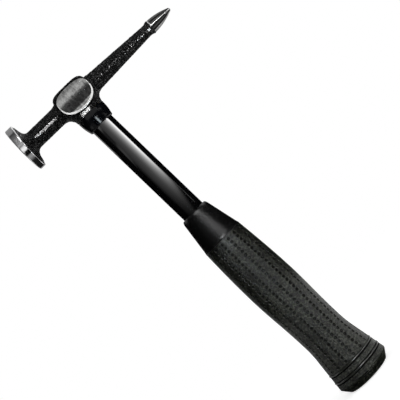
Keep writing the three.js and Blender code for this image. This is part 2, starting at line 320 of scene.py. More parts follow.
# Each curved card has its radius, its bearings and its heights, and each flat one its ranges and its distance.
back_bearings, front_bearings = (79, 275, 48), (-88, 88, 48)
cards = [
    (arc_card("card_behind", 450, back_bearings, 150, 365), black_card),
    (arc_card("card_over_panel", 1190, front_bearings, 762, 960), black_card),
    (arc_card("card_under_panel", 1190, front_bearings, 2, 150), black_card),
    (arc_card("card_upper_left", 900, (-96, -13, 32), 400, 1750), black_card),
    (arc_card("card_upper_right", 900, (48, 92, 24), 400, 1500), black_card),
    (arc_card("card_by_grip", 48, (42, 178, 32), 84, 181), black_card),
    (flat_card("card_on_near_floor", (-900, 900), (-1000, -330), 0.6), black_card),
    (flat_card("lamp_on_near_floor", (-26, 84), (-640, -370), 1.2), blue_card),
    (flat_card("lamp_on_far_floor", (-40, 150), (-1140, -640), 1.2), blue_card),
    (arc_card("lamp_on_low_stand", 1150, (-1, 8.5, 10), 3, 112), blue_card),
    (flat_card("card_under_butt", (-70, 70), (-160, 20), 0.5), black_card),
    (arc_card("lamp_above", 700, (2, 30, 10), 640, 1300), lamp_card),
    (arc_card("card_left_of_grip", 48, (-122, -52, 24), 62, 190), black_card),
    (upright_card("card_before_collar", (-34, 36), -31.5, (272.8, 277.8)), black_card),
    (flat_card("level_card_before_pad", (-62, 66), (-104, -32), 280.4), black_card),
    (upright_card("card_under_pick", (37, 108), -33, (278.4, 293)), black_card),
    (upright_card("white_under_pad", (-30, 32), -31, (277.6, 289.5)), snow_card),
    (upright_card("white_left_of_pad", (-32, -14.8), -31, (289.5, 312)), snow_card),
    (upright_card("white_right_of_pad", (16.6, 34), -31, (289.5, 312)), snow_card),
    (arc_card("card_behind_grip", 300, (195, 262, 20), 4, 148), pale_card),
    (flat_card("card_under_neck", (-130, -22), (-210, 300), 0.4), black_card),
    (flat_card("card_under_arm", (22, 68), (-210, 30), 0.4), black_card),
    (upright_card("card_before_pad", (-32, 40), -110, (281, 309)), dull_card),
    (upright_card("white_before_pad", (-32, 40), -110, (309.5, 322)), white_card),
    (upright_card("card_over_pad", (-32, 40), -110, (322.5, 352)), pale_card),
    (flat_card("card_on_far_floor", (-1250, 1250), (-1250, -690), 1), black_card),
    (flat_card("card_overhead", (-900, 900), (-410, 450), 1100), grey_card),
]

# A ring of painted board stands round the striking face, light and dark in turn, and draws the face's rim. Its
# bands are given by their angle, 0 towards the camera and growing upwards, and their brightness.
board_radius, board_height, board_ends, board_steps, board_peak = 75, 298.8, (-90, -41), 72, 2
board_bands = ((-180, 0.6), (-146, 0.55), (-136, 0.01), (-64, 0.02), (-52, 0.3), (-44, 0.42), (-36, 0.36),
               (-32, 0.1), (-21, 0.12), (-14, 1.1), (-7, 1.7), (1, 1.3), (6, 0.75), (9, 0.35), (12, 0.4),
               (15, 0.75), (20, 0.55), (30, 0.3), (60, 0.16), (78, 0.06), (84, 0.36), (180, 0.42))
board_angles = np.radians(np.linspace(-180, 180, board_steps + 1)[:-1])
board_verts = [[x, -board_radius * math.cos(a), board_height + board_radius * math.sin(a)]
               for x in board_ends for a in board_angles]
painted_board = placed("painted_board", board_verts, grid_faces(2, board_steps))


def tinted(value, stops):
    """A colour ramp over a value, through stops of a position and a colour or a plain grey."""
    ramp = value.socket.id_data.nodes.new("ShaderNodeValToRGB")
    feed(value, ramp.inputs["Fac"])
    elements = ramp.color_ramp.elements
    elements.remove(elements[-1])
    colours = [(*(np.zeros(3) + colour), 1) for position, colour in stops]
    elements[0].position, elements[0].color = stops[0][0], colours[0]
    for (position, _), colour in zip(stops[1:], colours[1:]):
        elements.new(position).color = colour
    return Value(ramp.outputs["Color"])


board_paint, glow = glowing("banded_paint")
glow.inputs["Strength"].default_value = board_peak
x, y, z = own_axes(glow)
around = (z - board_height * mm).worked("ARCTAN2", y * -1)
board_stops = [((angle + 180) / 360, tone / board_peak) for angle, tone in board_bands]
feed(tinted(around.over(-math.pi, math.pi, 0, 1), board_stops), glow.inputs["Color"])
cards.append((painted_board, board_paint))

for card, tone in cards:
    card.data.materials.append(tone)
    for kind in ("camera", "diffuse", "shadow", "transmission", "volume_scatter"):
        setattr(card, "visible_" + kind, False)


# The head's body: one drop forging, with the neck, the boss round the eye, the socket skirt under it and the
# arm. It is coated with a black wrinkle enamel, baked on before the face, the pads and the point are ground.
socket_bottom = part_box("collar")[1][2] / mm + 0.3
axis_height = socket_bottom + 14.4
head_tilt = 2.1
head_place = Matrix.Translation((0, 0, axis_height)) @ Matrix.Rotation(math.radians(head_tilt), 4, "Y")
onto_handle = Matrix.Scale(mm, 4) @ head_place @ Matrix.Scale(1 / mm, 4)
eye_radius = 10.325
boss_half_width, boss_half_depth, boss_shift = 15.225, 12.825, 0.1
boss_crown, boss_foot, boss_edge = 11.7, 10, 1.6
face_reach, rim_radius, face_chamfer = 55.1, 19.05, 0.8
rim_end = -face_reach + face_chamfer + 4.3
back_edge, back_depth, back_radius = 0.8, 1.4, 12
back_end = rim_end + back_edge + back_depth
neck_fillet, neck_half = 5, 7.3
neck_start = back_end + neck_fillet
back_lean = 2.2
arm_root_half, arm_tip_half = 7.1, 4.35
root_fillet, root_rise = 4.5, 1
shoulder_start, shoulder_length = 72.6, 4.4
point_start = shoulder_start + shoulder_length
point_half, point_reach, point_nose = 5.44, 96.3, 1.6
forged_square, ground_square, round_square = 5.5, 8, 2
section_steps = 160
section_angles = np.linspace(0, 2 * math.pi, section_steps, endpoint=False)


def smooth_share(value, low, high):
    """A soft step from 0 to 1."""
    share = np.clip((value - low) / (high - low), 0, 1)
    return share * share * (3 - 2 * share)


def quadratic(start, pull, end, steps):
    """Points of a curve that leaves its start towards the pull point and arrives at its end from there."""
    t = np.linspace(0, 1, steps + 1)[1:, None]
    start, pull, end = (np.array(p, float) for p in (start, pull, end))
    return ((1 - t) ** 2 * start + 2 * t * (1 - t) * pull + t ** 2 * end).tolist()


def bend(profile, pull, end, steps):
    """Draws such a curve on from a profile's last point."""
    profile += quadratic(profile[-1], pull, end, steps)


def section(along, reach, squareness):
    """One closed ring across the head's axis: a circle at squareness 2, then ever squarer, standing on an edge."""
    turn = section_angles - math.pi / 4
    flat = reach * 2 ** (1 / squareness - 0.5)
    radius = flat / (np.abs(np.cos(turn)) ** squareness + np.abs(np.sin(turn)) ** squareness) ** (1 / squareness)
    across, up = radius * np.cos(section_angles), radius * np.sin(section_angles)
    lean = 0
    if along >= rim_end:
        lean = math.tan(math.radians(back_lean)) * (1 - smooth_share(along, back_end, neck_start))
    return np.stack([along + up * lean, across, up], -1)


def capped(rings):
    """Points and faces over a row of rings, closed at both ends by a fan round the end ring's middle."""
    rings = np.array(rings)
    rows, steps = rings.shape[:2]
    fan, last_row = rows * steps, (rows - 1) * steps
    faces = grid_faces(rows, steps).tolist()
    for i in range(steps):
        j = (i + 1) % steps
        faces += [[fan, j, i], [fan + 1, last_row + i, last_row + j]]
    return np.vstack([rings.reshape(-1, 3), rings[0].mean(0), rings[-1].mean(0)]), faces


def bar(name, outline, smooth_angle=None):
    """A closed bar along the head's axis through sections of the given place, reach and power."""
    return placed(name, *capped([section(*row) for row in outline]), smooth_angle)


neck_end, arm_start = boss_shift - boss_half_width, boss_shift + boss_half_width
coat_edge_radius, coat_build, arm_coat_build = 17.3, 0.2, 0.34
coated_outline = [(rim_end + back_edge - 0.5, coat_edge_radius - 0.4), (rim_end + back_edge + 0.4, coat_edge_radius)]
coated_outline += [(back_end + coat_build, back_radius)]
bend(coated_outline, (back_end + neck_fillet * 0.3, neck_half), (neck_start, neck_half), 10)
coated_outline += [(along, neck_half) for along in np.linspace(neck_start, neck_end - root_fillet, 14)[1:]]
bend(coated_outline, (neck_end - root_fillet / 2, neck_half), (neck_end, neck_half + root_rise), 4)
coated_outline += quadratic((arm_start, arm_root_half + root_rise), (arm_start + root_fillet / 2, arm_root_half),
                            (arm_start + root_fillet, arm_root_half), 4)
arm_places = np.linspace(arm_start + root_fillet, shoulder_start, 24)[1:]
arm_slope = (arm_tip_half - arm_root_half) / (shoulder_start - arm_start - root_fillet)
coated_outline += [(along, arm_root_half + (along - arm_start - root_fillet) * arm_slope) for along in arm_places]
for t in np.linspace(0, 1, 9)[1:]:
    swelling = (point_half - arm_tip_half) * t * t * (3 - 2 * t)
    coated_outline.append((shoulder_start + t * shoulder_length, arm_tip_half + swelling))
coated_rows = []
for along, reach in coated_outline:
    forged = smooth_share(along, rim_end + back_edge, neck_start)
    squareness = round_square + (forged_square - round_square) * forged
    squareness += (ground_square - forged_square) * smooth_share(along, shoulder_start + 1, point_start)
    coated_rows.append((along, reach + forged * (coat_build if along < 0 else arm_coat_build), squareness))
head_body = bar("head_body", coated_rows)


def barrel(half_width, crown, foot, top_power, foot_power, steps=72):
    """The outline of the boss or of a pad, fuller above the head's axis than below it."""
    points = []
    for turn in np.linspace(0, 2 * math.pi, steps, endpoint=False):
        c, s = math.cos(turn), math.sin(turn)
        height, power = (crown, top_power) if s > 0 else (foot, foot_power)
        x = math.copysign(abs(c) ** (2 / power) * half_width, c)
        z = math.copysign(abs(s) ** (2 / power) * height, s)
        points.append((x, z))
    return np.array(points)


def block(name, outline, shift, half_depth, edge, steps=4):
    """A closed block across the head with that outline, its two faces square to Y and its edges rounded."""
    rings = []
    length = np.linalg.norm(outline, axis=1, keepdims=True)
    quarter = np.linspace(0, math.pi / 2, steps + 1)
    for side, turns in ((-1, quarter), (1, quarter[::-1])):
        for turn in turns:
            depth = side * (half_depth - edge * (1 - math.cos(turn)))
            ring = outline * (1 - edge * (1 - math.sin(turn)) / length)
            rings.append(np.stack([ring[:, 0] + shift, np.full(len(ring), depth), ring[:, 1]], -1))
    return placed(name, *capped(rings))


cheek_seat = 0.5
pad_outline, pad_shift = barrel(boss_half_width - 0.7, 9.6, 10.5, 3.1, 2.15, 128), 0.8
boss_outline = barrel(boss_half_width, boss_crown, boss_foot, 4.4, 2.6)
boss = block("boss", boss_outline, boss_shift, boss_half_depth - cheek_seat, boss_edge)
socket_radius, skirt_spread, skirt_sharpness, skirt_steps = eye_radius + 2.1, 7, 4, 12
skirt_rise = axis_height - socket_bottom - neck_half
skirt_rings = []
for step in range(skirt_steps + 1):
    turn = step / skirt_steps * math.pi / 2
    slope = math.tan(math.radians(head_tilt)) * math.sin(turn)
    radius = socket_radius + skirt_spread * (1 - math.cos(turn)) * np.abs(np.cos(section_angles)) ** skirt_sharpness
    x, y = radius * np.cos(section_angles), radius * np.sin(section_angles)
    z = socket_bottom + skirt_rise * math.sin(turn) - x * slope
    skirt_rings.append(np.stack([x, y, z], -1))
skirt_rings.append(spun([(socket_radius, axis_height)], section_angles)[0])
skirt = placed("skirt", *capped(skirt_rings))


def reshaped(piece, *changes):
    """Adds modifiers by kind and settings, and works them into the piece's mesh."""
    for kind, settings in changes:
        modifier = piece.modifiers.new(kind.lower(), kind)
        for key, value in settings.items():
            setattr(modifier, key, value)
    shaped = bpy.data.meshes.new_from_object(piece.evaluated_get(bpy.context.evaluated_depsgraph_get()))
    piece.modifiers.clear()
    piece.data = shaped


def joined(first, *others):
    """Brings the faces of the others into the first piece's mesh and removes them."""
    work = bmesh.new()
    for thing in (first, *others):
        work.from_mesh(thing.data)
    work.to_mesh(first.data)
    work.free()
    for thing in others:
        bpy.data.objects.remove(thing)


def turned(name, profile, steps=96, smooth_angle=30):
    """Spins a closed profile of radius and height about the handle's axis."""
    rings = spun(profile, np.linspace(0, 2 * math.pi, steps, endpoint=False))
    return placed(name, rings, grid_faces(len(profile), steps, True), smooth_angle)


for form in (head_body, boss):
    form.data.transform(onto_handle)
joined(head_body, boss, skirt)
reshaped(head_body, ("REMESH", {"mode": "VOXEL", "voxel_size": 0.34 * mm, "use_smooth_shade": True}),
         ("SMOOTH", {"factor": 0.5, "iterations": 4}))
for name, radius, low, high in (("eye_cut", eye_radius, socket_bottom - 4, axis_height + 20),
                                ("foot_cut", 30, socket_bottom - 6, socket_bottom + 0.05)):
    cutter = turned(name, [(0, low), (radius, low), (radius, high), (0, high)])
    reshaped(head_body, ("BOOLEAN", {"object": cutter, "operation": "DIFFERENCE", "solver": "EXACT"}))
    bpy.data.objects.remove(cutter)
head_body.data.shade_smooth()
head_body.data.set_sharp_from_angle(angle=math.radians(38))

# The enamel's wrinkles are real ones, a millimetre apart, but not in the bore or on the socket's lower end.
wrinkle_pitch, wrinkle_height = 1.3, 0.3
coated_points = np.array([v.co for v in head_body.data.vertices]) / mm
coated_normals = np.array([v.normal for v in head_body.data.vertices])
bare_share = smooth_share(np.hypot(coated_points[:, 0], coated_points[:, 1]), eye_radius + 0.1, eye_radius + 1.2)
bare_share *= smooth_share(coated_points[:, 2] - socket_bottom, 0.1, 0.9)
swell = np.array([noise.turbulence(Vector(point / wrinkle_pitch), 2, True) for point in coated_points])
coated_points += coated_normals * ((swell - swell.mean()) * wrinkle_height * bare_share)[:, None]

# Round each pad the grinding wheel's edge has cut a narrow groove through the enamel.
groove_width, groove_depth = 1.35, 1.2
turn_back = np.array(head_place.inverted())
local_points = coated_points @ turn_back[:3, :3].T + turn_back[:3, 3]
on_cheek = np.nonzero(np.abs(local_points[:, 1]) > boss_half_depth - 2.5)[0]
from_pad = local_points[on_cheek][:, None, (0, 2)] - (pad_outline + [pad_shift, 0])[None]
gap = np.linalg.norm(from_pad, axis=2).min(1)
sunk = groove_depth * (1 - smooth_share(gap, groove_width * 0.55, groove_width))
coated_points[on_cheek, 1] -= np.sign(coated_points[on_cheek, 1]) * sunk
head_body.data.vertices.foreach_set("co", (coated_points * mm).astype(np.float32).ravel())
head_body.data.update()
# The faces in the groove round each pad get a blacker, duller coat: painted shade in the groove.
groove_shade_faces = np.zeros(len(coated_points), bool)
groove_shade_faces[on_cheek] = gap < groove_width * 0.75
for face in head_body.data.polygons:
    if groove_shade_faces[list(face.vertices)].all():
        face.material_index = 1


def finished(name, *pieces, **settings):
    """Gives pieces a new material; its even values stand on the shader's own sockets."""
    finish = bpy.data.materials.new(name)
    finish.use_nodes = True
    for piece in pieces:
        piece.data.materials.append(finish)
    shader = finish.node_tree.nodes["Principled BSDF"]
    for socket, value in settings.items():
        shader.inputs[socket.replace("_", " ")].default_value = value
    return shader


def grain(shader, scale, stretch=(1, 1, 1), kind="Noise", **settings):
    """A procedural pattern in the object's own metres."""
    tree = shader.id_data
    mapping = tree.nodes.new("ShaderNodeMapping")
    mapping.inputs["Scale"].default_value = stretch
    feed(own_place(shader), mapping.inputs["Vector"])
    pattern = tree.nodes.new("ShaderNodeTex" + kind)
    pattern.inputs["Scale"].default_value = scale
    for key, value in settings.items():
        if key in pattern.inputs:
            pattern.inputs[key].default_value = value
        else:
            setattr(pattern, key, value)
    tree.links.new(mapping.outputs["Vector"], pattern.inputs["Vector"])
    return Value(pattern.outputs["Fac"])


def coloured(shader, value, stops):
    """Colours a shader by a ramp over a value."""
    feed(tinted(value, stops), shader.inputs["Base Color"])


def raised(shader, *layers):
    """Bumps on a shader, each a value, a height in millimetres and a strength."""
    normal = None
    for value, height, strength in layers:
        bump = shader.id_data.nodes.new("ShaderNodeBump")
        bump.inputs["Distance"].default_value = height * mm
        bump.inputs["Strength"].default_value = strength
        feed(value, bump.inputs["Height"])
        if normal is not None:
            feed(normal, bump.inputs["Normal"])
        normal = Value(bump.outputs["Normal"])
    feed(normal, shader.inputs["Normal"])


def mottled(shader, scale, stops, height, strength, stretch=(1, 1, 1), **settings):
    """Colours a shader by a noise, bumps it by the same and gives the noise back."""
    noise_value = grain(shader, scale, stretch, **settings)
    coloured(shader, noise_value, stops)
    raised(shader, (noise_value, height, strength))
    return noise_value


# The enamel is worn through to the steel along the ridge of the neck, a little along the arm's and on the skirt, and
# chipped at one place before the point. These light steel marks are wear and painted highlight both: they sit and
# are lightened where highlights fall, the neck's just under its ridge, and the chipped spot is also a painted glint.
ridge_drop, ridge_edge, ridge_side = 0.55, (0.45, 1.45), (2.6, 3.4)
neck_wear_and_highlight_from, neck_wear_and_highlight_to, arm_wear_and_highlight_from, arm_wear_and_highlight = (-44, -38), (-24, -16.5), (17, 24), 0.34
skirt_wear_and_highlight_x, skirt_wear_and_highlight_rise, skirt_wear_and_highlight_half_width, skirt_wear_and_highlight_half_height = -1.6, 2.2, 6.1, 3.4
skirt_wear_and_highlight_side = (9, 10.5)
chip_and_glint_place, chip_and_glint_edge = (74.2, -4.5, 292.9), (0.8, 1.15)
tilt_slope = math.tan(math.radians(head_tilt))
shader = finished("wrinkle_coat", head_body, Specular_IOR_Level=0.04)
wrinkle = grain(shader, 640, Detail=3, Roughness=0.55, Distortion=0.8)
wear_and_highlight_noise = grain(shader, 950, Detail=4, Roughness=0.65)
x, y, z = own_axes(shader)
off_axis = z + x * tilt_slope - axis_height * mm
on_ridge = abs(off_axis + ridge_drop * mm).over(*metres(*ridge_edge), 1, 0, True)
on_ridge = on_ridge * abs(y).over(*metres(*ridge_side), 0, 1)
along_neck = x.over(*metres(*neck_wear_and_highlight_from), 0, 1, True) * x.over(*metres(*neck_wear_and_highlight_to), 1, 0, True)
along_arm = x.over(*metres(*arm_wear_and_highlight_from), 0, arm_wear_and_highlight, True)
skirt_x = (x - skirt_wear_and_highlight_x * mm) / (skirt_wear_and_highlight_half_width * mm)
skirt_z = (z - (socket_bottom + skirt_wear_and_highlight_rise) * mm) / (skirt_wear_and_highlight_half_height * mm)
on_skirt = (skirt_x * skirt_x + skirt_z * skirt_z).over(0.2, 1.2, 1, 0, True)
on_skirt = on_skirt * abs(y).over(*metres(*skirt_wear_and_highlight_side), 0, 1)
# The worn marks, which also stand as painted highlights.
wear_and_painted_highlight = (on_ridge * along_neck.larger(along_arm)).larger(on_skirt)
chip_and_glint_distance = shader.id_data.nodes.new("ShaderNodeVectorMath")
chip_and_glint_distance.operation = "DISTANCE"
chip_and_glint_distance.inputs[1].default_value = Vector(chip_and_glint_place) * mm
feed(own_place(chip_and_glint_distance), chip_and_glint_distance.inputs[0])
chip_and_glint = Value(chip_and_glint_distance.outputs["Value"]).over(*metres(*chip_and_glint_edge), 1.8, 0)
wear_and_painted_highlight = (wear_and_painted_highlight + wear_and_highlight_noise.over(0.4, 0.62, -0.55, 0.5)).larger(chip_and_glint).over(0.4, 0.9, 0, 1, True)
dusty = grain(shader, 800, Detail=2, Roughness=0.5).over(0.52, 0.68, 0, 0.085, True)
coloured(shader, wear_and_painted_highlight.larger(dusty), [(0, (0.0015, 0.0015, 0.0016)), (1, 0.9)])
feed(wear_and_painted_highlight.over(0.3, 0.7, 0, 1), shader.inputs["Metallic"])
feed(wrinkle.over(0.35, 0.7, 0.08, 0.2).larger(wear_and_painted_highlight * 0.4), shader.inputs["Roughness"])
raised(shader, (wrinkle * wear_and_painted_highlight.over(0, 1, 1, 0.2), 1.1, 0.9))
# A blacker coat for the groove's faces round the pads: painted shade.
shader = finished("painted_groove_shade", head_body, Roughness=0.6, Specular_IOR_Level=0.03)
coloured(shader, grain(shader, 900, Detail=2), [(0.3, 0.0008), (0.7, 0.003)])
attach(head_body, "root")
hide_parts("hammer_head")


# The striking face: the head's round end, turned true and polished bare on its face, its rim and the bevel
# behind the rim, up to where the coat begins in the neck's fillet.
face_crown, face_radius = 0.25, rim_radius - face_chamfer
rim_start = -face_reach + face_chamfer + 0.2
face_rows = [(-face_reach + face_crown * (r / face_radius) ** 2, r) for r in np.linspace(0.01, face_radius, 10)]
face_rows[-1] = (-face_reach + face_crown, face_radius)
bend(face_rows, (-face_reach + face_crown + 0.05, rim_radius - 0.1), (rim_start, rim_radius), 4)
face_rows += [(along, rim_radius) for along in np.linspace(rim_start, rim_end, 5)[1:]]
bend(face_rows, (rim_end + back_edge, rim_radius), (rim_end + back_edge, rim_radius - back_edge), 5)
bevel_start, bevel_radius = rim_end + back_edge, rim_radius - back_edge
face_rows += [(bevel_start + back_depth * t, bevel_radius + (back_radius - bevel_radius) * t)
              for t in np.linspace(0, 1, 6)[1:]]
face_rows += [(back_end + 0.1, back_radius - 1.5), (back_end - 0.6, back_radius - 2.5)]
striking_face = bar("striking_face", [(along, reach, round_square) for along, reach in face_rows], 24)
striking_face.data.transform(onto_handle)
shader = finished("polished_steel", striking_face, Metallic=1, Anisotropic=0.3)
stain = grain(shader, 230, (1, 1, 1), Detail=4, Roughness=0.62)
turning = grain(shader, 2400, (1, 0.05, 0.05), Detail=1)
coloured(shader, stain, [(0.3, (0.4, 0.4, 0.405)), (0.62, (0.62, 0.62, 0.625))])
feed(stain.over(0.3, 0.7, 0.17, 0.1), shader.inputs["Roughness"])
raised(shader, (turning, 0.01, 0.15))
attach(striking_face, "root")
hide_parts("hammer_head")


# The pick's point: the end of the arm, ground to four bare faces on a belt, so its edges stay crisp and its
# marks run along the point.
taper_share, taper_power, nose_steps = 0.8, 1.9, 8
point_rows = [(point_start - 1.2, point_half - 1.6), (point_start - 0.1, point_half - 0.15)]
nose_start = point_reach - point_nose
for along in np.linspace(point_start, nose_start, 20):
    taper = taper_share * ((along - point_start) / (point_reach - point_start)) ** taper_power
    point_rows.append((along, point_half * (1 - taper)))
nose_half = point_rows[-1][1]
for turn in np.linspace(0, math.pi / 2, nose_steps)[1:-1]:
    point_rows.append((nose_start + math.sin(turn) * point_nose, nose_half * math.cos(turn)))
point_rows.append((point_reach, nose_half * 0.1))
pick_point = bar("pick_point", [(along, reach, ground_square) for along, reach in point_rows], 30)
pick_point.data.transform(onto_handle)

# The point's dark and light bands are painted reflections, each at its share of the way up from the point's lower
# ridge. The light lines along its middle ridges and at its base are painted highlights.
painted_reflection_bands = [(0, 0.2), (0.03, 0.34), (0.115, 0.3), (0.15, 0.004), (0.235, 0.004), (0.275, 0.045), (0.365, 0.035),
               (0.4, 0), (0.46, 0), (0.5, 0.5), (0.55, 0.25), (0.635, 0.5), (0.675, 0.45), (0.71, 0.12),
               (0.79, 0.12), (0.83, 0.5), (0.9, 0.8), (0.965, 0.45), (1, 0.6)]
shader = finished("ground_steel", pick_point, Metallic=1)
scratch = grain(shader, 620, (0.04, 1, 1), Detail=2, Roughness=0.5)
haze = grain(shader, 210, Detail=3)
x, y, z = own_axes(shader)
off_axis = z + x * tilt_slope - axis_height * mm
painted_base_line = x.over(*metres(point_start + 0.7, point_start + 1.1), 1, 0) * off_axis.over(*metres(-0.6, -0.1), 0, 1)
painted_highlight_lines = painted_base_line.larger(abs(off_axis).over(*metres(0.1, 0.36), 1, 0))
narrowed = x.over(*metres(point_start, point_reach), 0, 1).worked("POWER", taper_power)
half_width = narrowed.over(0, 1, *metres(point_half, point_half * (1 - taper_share)))
painted_bands = tinted((off_axis / half_width).over(-1, 1, 0, 1), painted_reflection_bands)
scratches_and_painted_bands = painted_bands * (scratch.over(0.4, 0.6, 0.6, 1.3) + haze.over(0.3, 0.7, -0.15, 0.15))
coloured(shader, scratches_and_painted_bands.larger(painted_highlight_lines), [(0, 0.004), (0.9, (0.8, 0.8, 0.79)), (1, (0.9, 0.9, 0.89))])
feed(painted_highlight_lines.over(0, 1, 0.22, 0.5), shader.inputs["Roughness"])
raised(shader, (scratch, 0.05, 0.6))
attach(pick_point, "root")
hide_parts("hammer_head")


# The two cheek pads: low raised faces on the boss, ground bare and left a little crowned, with a bevel round them
# where the wheel broke their edge. The bevel's steel is lighter than the face's, which is partly the face's darker
# oxide and partly a painted highlight on the bevel.
pad_rise, pad_skirt, pad_lip = 1.0, 1.4, 0.18
pad_crown_radius, pad_crown_centre, pad_sweep_radius = 130, 3, 700
bevel_slope, bevel_narrow, bevel_wide = math.tan(math.radians(12)), 0.15, 1.6
pad_rings = (0.12, 0.3, 0.5, 0.75, 1, 1.3, 1.6, 1.9, 2.2, 2.6, 3, 3.6, 4.4, 5.4, 6.6, 8, 9.2)
pad_length = np.linalg.norm(pad_outline, axis=1)
low_share = smooth_share(-pad_outline[:, 1] / pad_length, -0.5, 0.85)
bevel_width = bevel_narrow + (bevel_wide - bevel_narrow) * low_share
pads = []
for side, name in ((-1, "near_pad"), (1, "far_pad")):
    verts, rows = [], 0
    for inward in (0, 0, *pad_rings, None):
        share = np.zeros_like(pad_length) + 0.001 if inward is None else 1 - inward / pad_length
        x, z = pad_outline[:, 0] * share, pad_outline[:, 1] * share
        depth_in = bevel_width + 9 if inward is None else np.full_like(pad_length, inward)
        rise = pad_rise - bevel_slope * np.maximum(bevel_width - depth_in, 0)
        rise = rise - (z - pad_crown_centre) ** 2 / (2 * pad_crown_radius) - x * x / (2 * pad_sweep_radius)
        if inward == 0:
            rise = rise - pad_lip if rows else np.full_like(rise, -pad_skirt)
        verts.extend(np.stack([x + pad_shift, side * (boss_half_depth + rise), z], -1).tolist())
        rows += 1
    count = len(pad_outline)
    faces = grid_faces(rows, count).tolist()
    verts.append([pad_shift, side * (boss_half_depth - pad_skirt), 0])
    faces += [[len(verts) - 1, (i + 1) % count, i] for i in range(count)]
    pad = placed(name, verts, faces, 26)
    pad.data.transform(onto_handle)
    for face in pad.data.polygons:
        centre = head_place.inverted() @ (face.center / mm)
        if abs(centre.y) > boss_half_depth - 0.5:
            nearest = int(np.argmin(np.hypot(pad_outline[:, 0] + pad_shift - centre.x, pad_outline[:, 1] - centre.z)))
            outer = Vector((pad_outline[nearest, 0] + pad_shift, pad_outline[nearest, 1]))
            if (outer - Vector((centre.x, centre.z))).length < bevel_width[nearest]:
                face.material_index = 1
    pads.append(pad)
shader = finished("pad_steel", *pads, Metallic=1)
wheel_marks = grain(shader, 1600, (1, 1, 0.07), Detail=2, Roughness=0.6)
patches = grain(shader, 420, (0.8, 1, 1), Detail=5, Roughness=0.7)
brushed = grain(shader, 620, (1, 1, 0.45), Detail=2)
x, y, z = own_axes(shader)
# The face is painted lighter above the head's axis and darker below it, and lighter towards the striking face's end:
# a painted reflection and painted shade over the brushed streaks.
streaks_and_painted_light = z.over(*metres(axis_height - 1.6, axis_height + 0.6), -0.12, 0.06, True)
streaks_and_painted_light = streaks_and_painted_light + brushed.over(0.38, 0.62, -0.13, 0.13) + x.over(*metres(-13, -4), 0.12, 0, True)
coloured(shader, patches + streaks_and_painted_light, [(0.3, (0.17, 0.17, 0.168)), (0.5, (0.32, 0.32, 0.316)),
                                  (0.68, (0.44, 0.44, 0.434))])
feed(patches.over(0.3, 0.7, 0.14, 0.06), shader.inputs["Roughness"])
raised(shader, (wheel_marks, 0.025, 0.5), (patches, 0.05, 0.35))
# The bevel's lighter steel is partly a painted highlight.
shader = finished("bevel_steel", *pads, Metallic=1, Roughness=0.3)
mottled(shader, 700, [(0.3, (0.7, 0.7, 0.69)), (0.6, (0.86, 0.86, 0.85))], 0.03, 0.4, Detail=3)
for pad in pads:
    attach(pad, "root")
    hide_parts("hammer_head")


# The handle tube: drawn steel tube with a gloss black enamel, smooth as glass. Only the stretch between the
# grip and the collar shows, and its cut end in the eye.
tube_bottom, tube_top = (corner[2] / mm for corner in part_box("handle_tube"))
tube_radius, tube_wall, tube_break = 9.525, 2, 0.25
tube_bore = tube_radius - tube_wall
tube_profile = [(tube_bore, tube_bottom), (tube_radius, tube_bottom),
                (tube_radius, tube_top - tube_break), (tube_radius - tube_break, tube_top),
                (tube_bore + tube_break, tube_top), (tube_bore, tube_top - tube_break)]
handle_tube = turned("tube", tube_profile, 128, 30)
shader = finished("gloss_enamel", handle_tube, Roughness=0.045, Specular_IOR_Level=1)
mottled(shader, 60, [(0.3, (0.0015, 0.0015, 0.0017)), (0.7, (0.003, 0.003, 0.0034))], 0.02, 0.1, (1, 1, 0.35),
        Detail=2)
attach(handle_tube, "root")
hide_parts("handle_tube")


# The collar: a satin black sleeve, moulded in one piece. It is pushed up the tube against the socket to cover the
# joint, and widens from the tube to the socket.
collar_bottom, collar_top = (corner[2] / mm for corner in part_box("collar"))
sleeve_bore, collar_lip, collar_lip_height = tube_radius + 0.15, 1.35, 1.4
collar_profile = [(sleeve_bore, collar_top), (sleeve_bore, collar_bottom), (sleeve_bore + 0.4, collar_bottom)]
bend(collar_profile, (sleeve_bore + collar_lip, collar_bottom),
     (sleeve_bore + collar_lip, collar_bottom + collar_lip_height), 5)
bend(collar_profile, (socket_radius, collar_bottom + 6), (socket_radius, collar_top - 0.3), 14)
bend(collar_profile, (socket_radius, collar_top), (socket_radius - 0.3, collar_top), 3)
collar = turned("collar_sleeve", collar_profile, 128, 40)
shader = finished("satin_moulding", collar, Specular_IOR_Level=0.17)
bloom = grain(shader, 140, Detail=3)
pores = grain(shader, 1700, Detail=2)
coloured(shader, bloom, [(0.3, (0.0012, 0.0014, 0.0022)), (0.7, (0.0028, 0.0031, 0.0044))])
feed(bloom.over(0.3, 0.7, 0.11, 0.17), shader.inputs["Roughness"])
raised(shader, (pores, 0.03, 0.3))
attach(collar, "root")
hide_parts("collar")


# The resin that holds the tube in the eye: poured in as a liquid, so its top ring stands level with the tube's
# end and is slightly dished.
bond_bottom, bond_top = (corner[2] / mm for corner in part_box("eye_bond"))
bond_wall, bond_dish = 0.5, 0.12
bond_radius = sleeve_bore + bond_wall
bond_profile = [(sleeve_bore, bond_bottom), (bond_radius, bond_bottom), (bond_radius, bond_top),
                (sleeve_bore + bond_wall / 2, bond_top - bond_dish), (sleeve_bore, bond_top)]
eye_bond = turned("resin", bond_profile, 96, 40)
shader = finished("amber_resin", eye_bond, Roughness=0.16)
mottled(shader, 300, [(0.3, (0.2, 0.15, 0.06)), (0.7, (0.36, 0.28, 0.13))], 0.05, 0.4, Detail=3)
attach(eye_bond, "root")
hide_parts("eye_bond")


